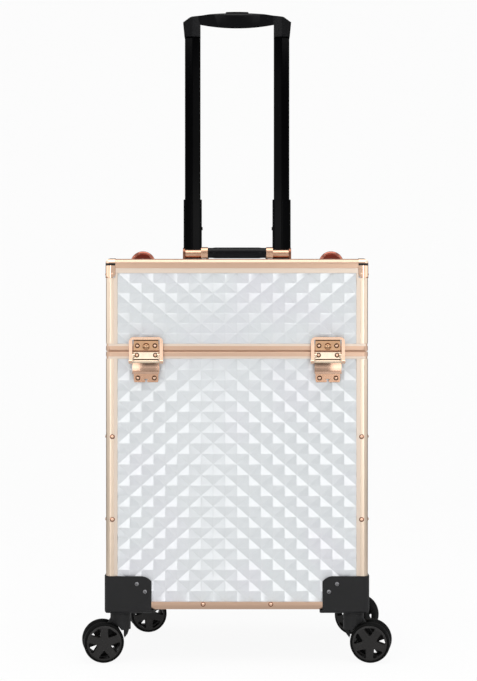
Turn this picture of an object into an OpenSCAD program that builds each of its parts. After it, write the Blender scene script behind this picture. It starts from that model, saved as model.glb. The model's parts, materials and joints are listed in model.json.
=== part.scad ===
// Rolling makeup case: lower case, lift-off top case, two-stage trolley handle, four twin-wheel casters.
// Millimetres, +Z up, front towards -Y, origin on the floor under the middle of the case.

/* [Case] */
// Width over the edge frame
case_w = 340; // [280:5:440]
// Depth over the edge frame
case_d = 240; // [200:5:320]
// Height of the lower case
body_h = 335; // [280:5:420]
// Height of the top case
top_h = 120; // [100:5:180]
// Gap between the two rims
seam_gap = 0.3; // [0.3:0.1:1]

/* [Edge frame] */
// Thickness of the outer legs
leg_t = 2.5; // [2.3:0.1:3]
// Step from the round bead down to the flange
flange_step = 1; // [0.6:0.1:1.4]
// Thickness of the inner legs
inner_t = 1.5; // [1:0.1:2]
// Radius of the outer edges
edge_r = 7; // [4:0.5:7.5]
// Bead width on the upright posts
post_bead = 10.3; // [9:0.1:12]
// Flange width on the upright posts
post_flange = 5; // [4:0.1:6]
// Bead width on the top rails
rail_bead = 12.2; // [10:0.1:13]
// Flange width on the top rails
rail_flange = 6.5; // [5:0.1:7]
// Bead width on the base rails
base_bead = 10.6; // [9:0.1:12]
// Height of each rim rail
rim_h = 9.5; // [8.5:0.1:12]
// Height of the bead on each rim rail
rim_bead = 6.5; // [6:0.1:7]

/* [Panels] */
// Board thickness
board_t = 4; // [3:0.5:5]
// Height of the embossed diamonds
emboss_h = 2; // [1:0.1:2]
// Half width of a diamond
cell_w = 15.5; // [12:0.5:20]
// Half height of a diamond
cell_h = 13.7; // [10:0.1:18]
// Lining thickness
lining_t = 2; // [1.5:0.5:3]

/* [Corners] */
// Length of a top corner cap along the rails
cap_len = 12.5; // [11:0.5:14]
// Height of a top corner cap
cap_h = 25; // [22:1:30]
// How far the caps stand proud
cap_proud = 0.6; // [0.3:0.1:1]
// Length of a bottom corner guard
guard_len = 61; // [52:1:70]
// Height of a bottom corner guard above the case underside
guard_h = 44; // [38:1:50]
// Wall thickness of a bottom corner guard
guard_t = 1.8; // [1.5:0.1:2.5]
// Radius of the guard's inner upper corner
guard_r = 17; // [8:1:18]
// Radius of the guard's lower edge
guard_edge = 4; // [2:0.5:6]
// Floor plate thickness of a guard
guard_plate = 4; // [3.5:0.5:5]

/* [Latches] */
// Distance of each latch from the side of the case
latch_in = 52.5; // [50:0.5:70]
// Width over the bail
bail_w = 44; // [42:1:48]
// Width of the base and keeper plates
plate_w = 32; // [30:1:33]
// Thickness of the base and keeper plates
plate_t = 1.5; // [1.2:0.1:1.6]
// Pin radius
latch_pin_r = 1.5; // [1.2:0.1:1.6]

/* [Carry handle] */
// Length of the grip
grip_len = 77; // [70:1:90]
// Radius of the grip
grip_r = 7.4; // [6:0.1:7.6]
// Width of each bracket
bracket_w = 35; // [30:1:36]
// Height of the hinge axis above the top plane
handle_axis = 12.6; // [12:0.1:15]
// Reach from the hinge axis to the grip
handle_arm = 27; // [24:1:32]

/* [Strap rings] */
// Distance of each saddle from the side of the case
strap_in = 41; // [38:1:46]
// Outer radius of the saddle arch
arch_r = 11; // [10:0.5:12]
// Wall of the saddle arch
arch_t = 4; // [2.5:0.5:5]
// Width of the saddle arch
arch_w = 9; // [7:0.5:10]
// Wire diameter of a ring
ring_wire = 3.5; // [3:0.1:4]

/* [Trolley handle] */
// Distance of each tube from the middle
tube_x = 64.7; // [60:0.1:72]
// Distance of the tubes behind the back plane
tube_back = 14.5; // [14.5:0.1:18]
// How far the middle stage slides down
middle_travel = 219; // [180:1:219]
// How far the inner stage slides down
inner_travel = 232; // [180:1:232]
// Depth of the trolley grip
trolley_grip_d = 26; // [22:1:27]
// Button travel
button_travel = 3; // [2:0.5:4]

/* [Casters] */
// Wheel diameter
wheel_d = 52; // [48:1:56]
// Height of the case bottom above the wheels
wheel_gap = 16; // [15:1:20]
// Width of one wheel
wheel_w = 16; // [12:1:18]
// Distance of a swivel axis from the case faces
caster_inset = 18; // [17:1:24]
// Distance from the swivel axis to the axle
caster_trail = 23; // [20:1:24]
// Thickness of the fork web
fork_t = 9; // [8:0.5:10]
// Resting direction of the front left caster
dir_fl = 190; // [0:1:359]
// Resting direction of the front right caster
dir_fr = 350; // [0:1:359]
// Resting direction of the rear left caster
dir_rl = 12; // [0:1:359]
// Resting direction of the rear right caster
dir_rr = 325; // [0:1:359]

/* [Hidden] */
$fn = 64;
web = leg_t + board_t + inner_t;
panel_in = web + 0.2;
z_base = wheel_d + wheel_gap;
z_split = z_base + body_h;
z_rim = z_split + seam_gap;
z_top = z_split + top_h;
rim_web = 5.5;
fx = case_w / 2;
fy = case_d / 2;
latch_x = fx - latch_in;
strap_x = fx - strap_in;
post_leg = post_bead + post_flange;
rail_leg = rail_bead + rail_flange;
apex_z = z_top - leg_t + emboss_h;
field_gap = 0.3;
field_foot = 0.2;
tube_y = fy + tube_back;
outer_top = z_split - 3;
outer_bottom = z_base + 4;
middle_top = z_split + middle_travel;
middle_low = middle_top - max(middle_travel + 65, inner_travel + 52);
inner_low = middle_top - 52;
nub_z = middle_top - 42;
grip_z = middle_top + 4 + inner_travel;
trolley_top = grip_z + 10;
axle_z = wheel_d / 2;
fork_top = z_base - 7.3;
fork_base = z_base - 13.5;
housing_low = axle_z + 15;
housing_r = 13.3;
wheel_in = fork_t / 2 + 0.4;
axle_cover = 3;
axle_r = 3;
kingpin_r = 4;
kingpin_head = 6;
handle_pin_r = 2.5;
pin_play = 0.06;
// Trolley tube half width at its ridge line, the stages' growth and walls
tube_half_w = 9.3;
bracket_over = 18;
bracket_back = 13;
bracket_h = 21;
tube_floor = 4;
grip_rise = 34.5;
grip_arch_r = 358;
button_floor = 20.5;
outer_r = 5.8;
middle_r = 3.95;
inner_r = 2;
tube_t = 1.5;
inner_wall = 1.2;
nub_h = 1.2;
// Strap ring: half its width and the length of its straight sides
ring_half = 12;
ring_side = 8;
// Tongue on the lower rim: place, thickness and height
tongue_in = 3.4;
tongue_t = 2.2;
tongue_h = 2.6;
pin_a = [4.4, -5.5];
ear_t = 1.5;
cheek_t = 1.1;
barrel_r = 2.1;
eye_r = 2.6;
lever_w = plate_w + 2 * (cheek_t + 0.3);
bail_in = lever_w / 2 + 0.3;
pin_b = [5, -13.5];

// Colours
rose_gold = [0.86, 0.70, 0.60];
pearl = [0.90, 0.91, 0.92];
black = [0.06, 0.06, 0.06];
grey = [0.17, 0.17, 0.17];

// Polygon grown by r, with round corners
module rounded_poly(pts, r) {
    n = len(pts);
    polygon([for (i = [0:n - 1]) for (k = [0, 1])
        let (a = pts[i], b = pts[(i + 1) % n], d = (b - a) / norm(b - a))
        (k == 0 ? a : b) + r * [d[1], -d[0]]]);
    for (p = pts) translate(p) circle(r);
}

// Rounded rectangle from its corner points
function rect_pts(x0, y0, x1, y1) = [[x0, y0], [x1, y0], [x1, y1], [x0, y1]];

// Outline of the case seen from above
module plan() {
    k = edge_r;
    rounded_poly(rect_pts(-fx + k, -fy + k, fx - k, fy - k), k);
}

module both_sides() {
    children();
    mirror([1, 0, 0]) children();
}

module front_and_back() {
    children();
    mirror([0, 1, 0]) children();
}

module four_corners() {
    front_and_back() both_sides() translate([-fx, -fy, 0]) children();
}

// Draws 2D x as depth and 2D y as height, run along X
module run_x(len) {
    rotate([90, 0, 90]) translate([0, 0, -len / 2]) linear_extrude(len) children();
}

// Draws 2D x as X and 2D y as height, run along Y from y0 to y1
module run_y(y0, y1) {
    translate([0, y1, 0]) rotate([90, 0, 0]) linear_extrude(y1 - y0) children();
}

// Corner extrusion: web, two outer legs with bead and flange, two inner legs
module edge_section(bead, flange) {
    difference() {
        union() {
            square(web);
            for (m = [0, 1]) mirror([m, -m]) {
                square([bead, leg_t]);
                translate([0, flange_step]) square([bead + flange, leg_t - flange_step]);
                translate([0, leg_t + board_t]) square([min(web + 5, bead + flange), inner_t]);
            }
        }
        difference() {
            translate([-1, -1]) square(edge_r + 1);
            translate([edge_r, edge_r]) circle(edge_r);
        }
    }
}

// Rim extrusion, measured from the seam; height points away from the seam
module rim_section() {
    difference() {
        union() {
            square([web, rim_web]);
            square([leg_t, rim_bead]);
            translate([flange_step, 0]) square([leg_t - flange_step, rim_h]);
            translate([leg_t + board_t, 0]) square([inner_t, rim_h]);
        }
        difference() {
            translate([-1, -1]) square(3);
            translate([2, 2]) circle(2);
        }
    }
}

// Four mitred bars of one section round the case
module ring_bars(z, up) {
    flip = up ? 0 : 1;
    m = 0.05;
    front_and_back() intersection() {
        translate([0, -fy, z]) mirror([0, 0, flip]) run_x(case_w) children();
        translate([0, 0, z - 40]) linear_extrude(80)
            polygon([[m - fx - 1, -fy - 1], [fx + 1 - m, -fy - 1],
                [fx - 40 - m, 40 - fy], [m - fx + 40, 40 - fy]]);
        translate([0, 0, z - 40]) linear_extrude(80) plan();
    }
    both_sides() intersection() {
        translate([-fx, 0, z]) mirror([0, 0, flip]) run_y(-fy, fy) children();
        translate([0, 0, z - 40]) linear_extrude(80)
            polygon([[-fx - 1, -fy - 1], [-fx + 40, -fy + 40], [-fx + 40, fy - 40], [-fx - 1, fy + 1]]);
        translate([0, 0, z - 40]) linear_extrude(80) plan();
    }
}

// Room taken by the top corner caps
module cap_room() {
    four_corners() translate([-5, -5, z_top - cap_h]) cube([cap_len + 5, cap_len + 5, cap_h + 5]);
}

// Embossed board: xs and ys run from edge to edge over the foot and the lines of the diamond field
module diamond_board(x0, x1, u0, u1, nx, y0, y1, v0, v1, ny) {
    f = field_foot;
    xs = concat([x0, u0 - f], [for (i = [0:nx]) u0 + (u1 - u0) * i / nx], [u1 + f, x1]);
    ys = concat([y0, v0 - f], [for (j = [0:ny]) v0 + (v1 - v0) * j / ny], [v1 + f, y1]);
    n = nx + 4;
    m = ny + 4;
    s = n + 1;
    b = s * (m + 1);
    top = [for (j = [0:m]) for (i = [0:n])
        [xs[i], ys[j], (i > 1 && i < n - 1 && j > 1 && j < m - 1 && (i + j) % 2 == 0) ? emboss_h : 0]];
    low = [[x0, y0, -board_t], [x1, y0, -board_t], [x1, y1, -board_t], [x0, y1, -board_t]];
    cells = [for (j = [0:m - 1]) for (i = [0:n - 1]) for (k = [0, 1])
        let (p = j * s + i, q = p + 1, t = p + s + 1, r = p + s)
        (i + j) % 2 == 0 ? (k == 0 ? [p, r, q] : [q, r, t]) : (k == 0 ? [p, t, q] : [p, r, t])];
    rims = [
        concat([b], [for (i = [0:n]) i], [b + 1]),
        concat([b + 1], [for (j = [0:m]) j * s + n], [b + 2]),
        concat([b + 2], [for (i = [0:n]) m * s + n - i], [b + 3]),
        concat([b + 3], [for (j = [0:m]) (m - j) * s], [b])
    ];
    polyhedron(concat(top, low), concat(cells, rims, [[b, b + 1, b + 2, b + 3]]), convexity = 6);
}

// Even number of half diamonds that fits a length
function even_cells(len, cell) = 2 * max(1, round(len / cell / 2));

// Upright panel of a given case width, standing between heights, facing -Y at the plane y
module wall_panel(half, y, z0, z1, v0, v1) {
    u = half - post_leg - field_gap;
    translate([0, -(y - leg_t), 0]) rotate([90, 0, 0])
        diamond_board(-half + panel_in, half - panel_in, -u, u, even_cells(2 * u, cell_w),
            z0, z1, v0 + field_gap, v1 - field_gap, max(2, round((v1 - v0) / cell_h)));
}

module body_wall(half, y) {
    wall_panel(half, y, z_base + panel_in, z_split - rim_web - 0.2, z_base + base_bead, z_split - rim_h);
}

module top_wall(half, y) {
    wall_panel(half, y, z_rim + rim_web + 0.2, z_top - panel_in, z_rim + rim_h, z_top - rail_leg);
}

module body_front_panel() {
    color(pearl) body_wall(fx, fy);
}

module body_back_panel() {
    color(pearl) rotate([0, 0, 180]) body_wall(fx, fy);
}

module body_side_panels() {
    color(pearl) for (a = [90, 270]) rotate([0, 0, a]) body_wall(fy, fx);
}

module top_front_panel() {
    color(pearl) top_wall(fx, fy);
}

module top_back_panel() {
    color(pearl) rotate([0, 0, 180]) top_wall(fx, fy);
}

module top_side_panels() {
    color(pearl) for (a = [90, 270]) rotate([0, 0, a]) top_wall(fy, fx);
}

module top_panel() {
    u = fx - rail_leg - field_gap;
    v = fy - rail_leg - field_gap;
    color(pearl) translate([0, 0, z_top - leg_t])
        diamond_board(-fx + panel_in, fx - panel_in, -u, u, even_cells(2 * u, cell_w),
            -fy + panel_in, fy - panel_in, -v, v, even_cells(2 * v, cell_h));
}

module body_bottom_panel() {
    color(grey) translate([-fx + panel_in, -fy + panel_in, z_base + leg_t])
        cube([case_w - 2 * panel_in, case_d - 2 * panel_in, board_t]);
}

module body_corner_posts() {
    color(rose_gold) four_corners() translate([0, 0, z_base + base_bead + 0.05])
        linear_extrude(body_h - base_bead - rim_h - 0.1)
            edge_section(post_bead, post_flange);
}

module top_corner_posts() {
    color(rose_gold) difference() {
        four_corners() translate([0, 0, z_rim + rim_h + 0.05])
            linear_extrude(z_top - rail_leg - z_rim - rim_h - 0.1) edge_section(post_bead, post_flange);
        cap_room();
    }
}

module top_edge_rails() {
    color(rose_gold) difference() {
        ring_bars(z_top, false) edge_section(rail_bead, rail_flange);
        cap_room();
    }
}

module body_base_rails() {
    color(rose_gold) ring_bars(z_base, true) edge_section(base_bead, 0);
}

module body_rim_rails() {
    color(rose_gold) ring_bars(z_split, false) union() {
        rim_section();
        translate([tongue_in, -tongue_h]) square([tongue_t, tongue_h + 1]);
    }
}

module top_rim_rails() {
    color(rose_gold) ring_bars(z_rim, true) difference() {
        rim_section();
        translate([tongue_in - seam_gap, -1]) square([tongue_t + 2 * seam_gap, tongue_h + 1.5]);
    }
}

// Open box that lines one half of the case
module lining(z0, z1) {
    linear_extrude(z1 - z0) difference() {
        square([case_w - 2 * web, case_d - 2 * web], center = true);
        square([case_w - 2 * (web + lining_t), case_d - 2 * (web + lining_t)], center = true);
    }
}

module body_lining() {
    color(black) {
        translate([0, 0, z_base + web + lining_t]) lining(0, body_h - web - lining_t - 1);
        translate([-fx + web, -fy + web, z_base + web])
            cube([case_w - 2 * web, case_d - 2 * web, lining_t]);
    }
}

module top_lining() {
    color(black) {
        translate([0, 0, z_rim + 1]) lining(0, top_h - seam_gap - 1 - web - lining_t);
        translate([-fx + web, -fy + web, z_top - web - lining_t])
            cube([case_w - 2 * web, case_d - 2 * web, lining_t]);
    }
}

module top_corner_caps() {
    g = cap_proud;
    r = edge_r + g;
    color(rose_gold) four_corners() difference() {
        intersection() {
            translate([-g, -g, z_top - cap_h]) cube([cap_len + g, cap_len + g, cap_h + g]);
            translate([0, 0, z_top - cap_h]) linear_extrude(cap_h + g)
                rounded_poly(rect_pts(edge_r, edge_r, 40, 40), r);
            run_y(-g - 1, cap_len + 1) rounded_poly(rect_pts(edge_r, z_top - 60, 40, z_top - edge_r), r);
            translate([cap_len / 2, 0, 0]) run_x(cap_len + 2 * g + 2)
                rounded_poly(rect_pts(edge_r, z_top - 60, 40, z_top - edge_r), r);
        }
        translate([leg_t, leg_t, z_top - cap_h - 1]) cube([cap_len, cap_len, cap_h + 1 - leg_t]);
        cap_foot();
        mirror([1, -1, 0]) cap_foot();
    }
}

// What the round lower end of a cap leaves free on its front leg
module cap_foot() {
    k = cap_len / 2;
    run_y(-cap_proud - 1, leg_t + 0.01) difference() {
        translate([-cap_proud - 1, z_top - cap_h - 1]) square([cap_len + cap_proud + 2, k + 1]);
        translate([k - cap_proud / 2, z_top - cap_h + k]) circle(k + cap_proud / 2);
    }
}

// Round-headed rivet lying on z = 0
module rivet(r = 3, h = 1.5) {
    rotate_extrude() intersection() {
        translate([0, h - (r * r + h * h) / (2 * h)]) circle((r * r + h * h) / (2 * h));
        square([r, h]);
    }
}

module corner_guards() {
    t = guard_t;
    zb = z_base - guard_plate;
    zt = z_base + guard_h;
    color(grey) four_corners() difference() {
        union() {
            intersection() {
                translate([0, 0, zb]) linear_extrude(guard_h + guard_plate)
                    rounded_poly(rect_pts(edge_r, edge_r, guard_len - edge_r, guard_len - edge_r),
                        edge_r + t);
                union() {
                    guard_side(zb, zt);
                    translate([-t, -t, zb - 1]) cube([guard_len + t, guard_len + t, guard_plate + 1]);
                    mirror([1, -1, 0]) guard_side(zb, zt);
                }
                guard_elevation(zb);
                mirror([1, -1, 0]) guard_elevation(zb);
            }
            translate([caster_inset, caster_inset, zb - 3]) cylinder(r = 13.5, h = 3.5);
        }
        translate([0, 0, z_base]) linear_extrude(guard_h + 1)
            rounded_poly(rect_pts(edge_r, edge_r, guard_len + 40, guard_len + 40), edge_r);
        translate([caster_inset, caster_inset, zb - 4]) cylinder(r = 4, h = guard_plate + 6);
    }
}

// Outline of a guard seen from the front, its lower outer edge round
module guard_elevation(zb) {
    k = guard_edge;
    run_y(-guard_t - 1, guard_len + guard_t + 1)
        rounded_poly(rect_pts(k - guard_t, zb + k, 2 * guard_len, z_base + 2 * guard_h), k);
}

// Front wall outline of a guard
module guard_side(zb, zt) {
    t = guard_t;
    run_y(-t - 1, edge_r) difference() {
        translate([-t - 1, zb - 1]) square([guard_len + t * 2 + 1, zt - zb + 1]);
        translate([guard_len + t - guard_r, zt - guard_r]) difference() {
            square(guard_r + 5);
            circle(guard_r);
        }
    }
}

module guard_screws() {
    color(grey) four_corners() for (m = [0, 1]) mirror([m, -m, 0])
        for (p = [[40.5, 34], [51, 24]])
            translate([p[0], -guard_t, z_base + p[1]]) rotate([90, 0, 0]) rivet(2.8, 1.2);
}

module frame_rivets() {
    color(rose_gold) {
        four_corners() for (m = [0, 1]) mirror([m, -m, 0]) for (k = [0.35, 0.67])
            translate([8.6, 0, z_base + k * body_h]) rotate([90, 0, 0]) rivet(2.4, 1.2);
        both_sides()
            translate([43.8, -fy, z_base + 7.6]) rotate([90, 0, 0]) rivet(2.4, 1.2);
        both_sides() front_and_back()
            translate([-fx, -30, z_base + 7.6]) rotate([0, -90, 0]) rivet(2.4, 1.2);
    }
}

module caster_kingpins() {
    color(grey) four_corners() translate([caster_inset, caster_inset, 0]) {
        translate([0, 0, fork_base - 0.5]) cylinder(r = kingpin_r, h = z_base - fork_base + 0.5);
        translate([0, 0, fork_base - 2.5]) cylinder(r = kingpin_head, h = 2.2);
    }
}

// Places a latch piece: x across, y outwards from the front plane, z up from the seam
module at_latch(side) {
    translate([side * latch_x, -fy, z_split]) mirror([0, 1, 0]) children();
}

// Pin across a latch at an outward and upward place
module cross(p, r, x0, x1) {
    translate([x0, p[0], p[1]]) rotate([0, 90, 0]) cylinder(r = r, h = x1 - x0);
}

// Base plate of a latch with a two-lobed foot and an ear at each side
module latch_base() {
    w = plate_w;
    foot = -37;
    lobe_r = 7.4;
    lobe_h = 3.1;
    difference() {
        translate([-w / 2, 0, foot]) cube([w, plate_t, -1 - foot]);
        translate([0, -1, foot - 2]) rotate([-90, 0, 0]) cylinder(r = 3.5, h = plate_t + 2);
    }
    for (s = [-1, 1]) {
        translate([s * 8.4, 0, foot + 0.1]) intersection() {
            rotate([-90, 0, 0]) cylinder(r = lobe_r, h = plate_t);
            translate([-lobe_r, 0, -lobe_h]) cube([2 * lobe_r, plate_t, lobe_h]);
        }
        pin_ear(s);
    }
}

// Ear on one side of the base, with the stub pin that the lever turns on
module pin_ear(s) {
    x0 = s > 0 ? plate_w / 2 - ear_t : -plate_w / 2;
    cross(pin_a, 3, x0, x0 + ear_t);
    translate([x0, plate_t / 2, pin_a[1] - 3]) cube([ear_t, pin_a[0] - plate_t / 2, 6]);
    cross(pin_a, latch_pin_r, s > 0 ? x0 : -lever_w / 2, s > 0 ? lever_w / 2 : x0 + ear_t);
}

module latch_bases() {
    color(rose_gold) for (s = [-1, 1]) at_latch(s) union() latch_base();
}

module latch_base_rivets() {
    color(rose_gold) for (s = [-1, 1]) at_latch(s) for (u = [-1, 1]) for (p = [[12, -5], [10.6, -34.5]])
        translate([u * p[0], plate_t, p[1]]) rotate([-90, 0, 0]) rivet(2, 0.9);
}

module latch_lever() {
    difference() {
        union() {
            cross(pin_b, barrel_r, -lever_w / 2, lever_w / 2);
            for (s = [-1, 1]) translate([s * (lever_w - cheek_t) / 2, 0, 0]) run_x(cheek_t) lever_cheek();
            lever_plate();
            translate([-lever_w / 2, 5, -29]) cube([lever_w, 3.6, 3.1]);
            cross(pin_b, latch_pin_r, -bail_w / 2 - 0.6, bail_w / 2 + 0.6);
        }
        cross(pin_a, latch_pin_r + pin_play, -lever_w, lever_w);
    }
}

// Side of a lever, from its pin down to the finger plate
module lever_cheek() {
    translate(pin_a) circle(eye_r);
    polygon([pin_a - [eye_r, 0], pin_a + [eye_r, 0], [6.7, -22], [5, -22]]);
}

// Convex finger plate of a lever, between its rolled edge and the lip
module lever_plate() {
    z0 = -26;
    h = 11;
    bulge = 1.2;
    r = (h * h / 4 + bulge * bulge) / (2 * bulge);
    run_x(lever_w) intersection() {
        translate([5, z0]) square([2 + bulge, h]);
        translate([6.7 + bulge - r, z0 + h / 2]) circle(r, $fn = 128);
    }
}

module latch_lever_left() {
    color(rose_gold) at_latch(-1) latch_lever();
}

module latch_lever_right() {
    color(rose_gold) at_latch(1) latch_lever();
}

module latch_bail() {
    w = bail_w / 2;
    r = 6;
    bar_low = 15;
    bar_top = 18.5;
    deep = 30;
    difference() {
        union() {
            translate([0, 5.8, 0]) rotate([90, 0, 0]) linear_extrude(1.5) difference() {
                rounded_poly(rect_pts(r - w, pin_b[1], w - r, bar_top - r), r);
                translate([-bail_in, -deep]) square([2 * bail_in, deep + bar_low]);
                translate([-w - 1, -deep]) square([2 * w + 2, deep + pin_b[1]]);
            }
            for (s = [-1, 1]) cross(pin_b, eye_r, s > 0 ? bail_in + 0.1 : -w, s > 0 ? w : -bail_in - 0.1);
        }
        cross(pin_b, latch_pin_r + pin_play, -bail_w, bail_w);
    }
}

module latch_bail_left() {
    color(rose_gold) at_latch(-1) latch_bail();
}

module latch_bail_right() {
    color(rose_gold) at_latch(1) latch_bail();
}

module latch_keeper() {
    w = plate_w;
    translate([-w / 2, 0, 1.5]) cube([w, plate_t, 13.5]);
    translate([-13, plate_t, 11]) cube([26, 2.5, 3.4]);
    translate([0, plate_t - 0.1, 6.2]) rotate([-90, 0, 0]) rivet(4.6, 2.5);
}

module latch_keepers() {
    color(rose_gold) for (s = [-1, 1]) at_latch(s) union() latch_keeper();
}

module latch_keeper_rivets() {
    color(rose_gold) for (s = [-1, 1]) at_latch(s) for (u = [-1, 1])
        translate([u * 11.4, plate_t, 7.2]) rotate([-90, 0, 0]) rivet(2, 0.9);
}

// Places a carry handle piece on the top plane, x outwards from the middle
module at_handle() {
    translate([0, 0, z_top]) children();
}

module carry_bracket() {
    w = bracket_w;
    translate([grip_len / 2 + 0.5, 0, 0]) difference() {
        union() {
            translate([0, -11, apex_z - z_top]) cube([w, 22, 2]);
            for (x = [0, w - 3]) translate([x, 0, 0]) {
                translate([0, -8.5, 0]) cube([3, 17, handle_axis]);
                translate([0, 0, handle_axis]) rotate([0, 90, 0]) cylinder(r = 8.5, h = 3);
            }
        }
        translate([-1, 0, handle_axis]) rotate([0, 90, 0]) cylinder(r = handle_pin_r, h = w + 2);
    }
    translate([grip_len / 2 + 0.5, 0, handle_axis]) rotate([0, 90, 0]) cylinder(r = handle_pin_r, h = w);
}

module carry_handle_brackets() {
    color(rose_gold) at_handle() both_sides() union() carry_bracket();
}

module carry_handle_arms() {
    x0 = grip_len / 2 + 3.9;
    len = bracket_w - 6.8;
    color(rose_gold) at_handle() both_sides() difference() {
        union() {
            translate([x0, 0, handle_axis]) rotate([0, 90, 0]) cylinder(r = 6, h = len);
            translate([x0, -handle_arm, handle_axis - 4]) cube([6, handle_arm, 8]);
            translate([grip_len / 2 + 1, -handle_arm, handle_axis]) rotate([0, 90, 0])
                cylinder(r = grip_r + 0.4, h = 8.9);
        }
        translate([x0 - 1, 0, handle_axis]) rotate([0, 90, 0])
            cylinder(r = handle_pin_r + pin_play, h = len + 2);
        translate([0, -handle_arm, handle_axis]) rotate([0, 90, 0])
            cylinder(r = grip_r - 1.4, h = grip_len / 2 + 8);
    }
}

module carry_handle_grip() {
    l = grip_len / 2;
    r = grip_r;
    color(black) at_handle() translate([0, -handle_arm, handle_axis]) rotate([0, 90, 0]) rotate_extrude()
        polygon([[0, -l - 8], [r - 1.4, -l - 8], [r - 1.4, -l - 1], [r - 0.5, -l - 1], [r - 0.5, -l + 5],
            [r, -l + 9], [r, l - 9], [r - 0.5, l - 5], [r - 0.5, l + 1], [r - 1.4, l + 1],
            [r - 1.4, l + 8], [0, l + 8]]);
}

module strap_saddle() {
    r = arch_r;
    h = 3.5;
    translate([-15, -7, 0]) cube([30, 14, 1.5]);
    translate([0, arch_w / 2, 1.5]) rotate([90, 0, 0]) linear_extrude(arch_w) difference() {
        union() {
            translate([0, h]) circle(r);
            translate([-r, 0]) square([2 * r, h]);
        }
        translate([0, h]) circle(r - arch_t);
        translate([arch_t - r, -1]) square([2 * (r - arch_t), h + 1]);
        translate([-r, -2 * r]) square([2 * r, 2 * r]);
    }
}

module strap_saddles() {
    color(rose_gold) both_sides() translate([strap_x, 0, apex_z]) union() strap_saddle();
}

// Ring lying to one side: bar along Y, loop towards +X
module strap_ring() {
    w = ring_wire / 2;
    z = apex_z + 1.5 + w + 0.3;
    r = ring_half;
    translate([strap_x, 0, z]) {
        translate([0, r, 0]) rotate([90, 0, 0]) cylinder(r = w, h = 2 * r);
        for (s = [-1, 1]) translate([0, s * r, 0]) {
            rotate([0, 90, 0]) cylinder(r = w, h = ring_side);
            sphere(r = w);
        }
        translate([ring_side, 0, 0]) rotate([0, 0, -90]) rotate_extrude(angle = 180)
            translate([r, 0]) circle(w);
    }
}

module strap_ring_right() {
    color(rose_gold) strap_ring();
}

module strap_ring_left() {
    color(rose_gold) mirror([1, 0, 0]) strap_ring();
}

// Direction that the outer side of an edge faces, corners counted anticlockwise
function edge_facing(a, b) = atan2(a[0] - b[0], b[1] - a[1]);

// Points of a corner grown by r, turned from one edge to the next in a few steps
function grown_corner(before, p, after, r, steps) =
    let (start = edge_facing(before, p), turn = (edge_facing(p, after) - start + 720) % 360)
    [for (k = [0:steps]) p + r * [cos(start + turn * k / steps), sin(start + turn * k / steps)]];

// Flattened six-sided tube outline grown by r
module tube_outline(r) {
    w = tube_half_w;
    pts = [[w, -2.2], [w, 2.2], [0, 4.5], [-w, 2.2], [-w, -2.2], [0, -4.5]];
    n = len(pts);
    polygon([for (i = [0:n - 1])
        each grown_corner(pts[(i + n - 1) % n], pts[i], pts[(i + 1) % n], r, 6)]);
}

module tubes(z0, z1, r_out, r_in) {
    both_sides() translate([tube_x, tube_y, z0]) linear_extrude(z1 - z0) difference() {
        tube_outline(r_out);
        tube_outline(r_in);
    }
}

// Path of the lock nubs on the inner sides of the tubes
module nub_path() {
    both_sides() translate([tube_x - 20, tube_y - 3.2, nub_z - middle_travel - 8])
        cube([12, 6.4, outer_top - nub_z + middle_travel + 20]);
}

module trolley_outer_tubes() {
    color(black) difference() {
        tubes(outer_bottom + tube_floor, outer_top, outer_r, outer_r - tube_t);
        nub_path();
    }
}

module trolley_middle_tubes() {
    color(black) tubes(middle_low, middle_top, middle_r, middle_r - tube_t);
}

module trolley_inner_tubes() {
    color(black) tubes(inner_low, trolley_top, inner_r, inner_r - inner_wall);
}

module trolley_lock_nubs() {
    color(grey) both_sides() translate([tube_x - tube_half_w - middle_r - nub_h, tube_y, nub_z])
        rotate([0, 90, 0]) cylinder(r = 2.4, h = nub_h);
}

// Block across both tubes, flat on the back of the case and round at its other edges
module bracket_block(z0, z1) {
    w = tube_x + bracket_over;
    r = 3;
    translate([0, 0, z0]) linear_extrude(z1 - z0) difference() {
        rounded_poly(rect_pts(-w, fy + r, w, tube_y + bracket_back - r), r);
        translate([-w - 2 * r, fy - 2 * r]) square([2 * w + 4 * r, 2 * r]);
    }
}

module trolley_brackets() {
    color(grey) difference() {
        union() {
            bracket_block(outer_top - bracket_h, outer_top);
            bracket_block(outer_bottom, outer_bottom + bracket_h);
        }
        both_sides() translate([tube_x, tube_y, outer_bottom + tube_floor]) linear_extrude(body_h)
            tube_outline(outer_r);
        nub_path();
    }
}

module bracket_screws() {
    h = bracket_h / 2;
    color(grey) both_sides() for (z = [outer_top - h, outer_bottom + h]) for (x = [10, 34])
        translate([x, tube_y + bracket_back, z]) rotate([-90, 0, 0]) rivet(3, 1.4);
}

// Trolley grip from above: a bowed bar between two sockets with a ridge front and back
module grip_plan() {
    d = trolley_grip_d / 2;
    bow = 390;
    intersection() {
        square([2 * tube_x, 2 * d], center = true);
        translate([0, bow - d]) circle(bow, $fn = 180);
        translate([0, d - bow]) circle(bow, $fn = 180);
    }
    both_sides() translate([tube_x, 0])
        polygon([[-13, 3.5 - d], [0, -d], [14, 4.5 - d], [14, d - 4.5], [0, d], [-13, d - 3.5]]);
}

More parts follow.
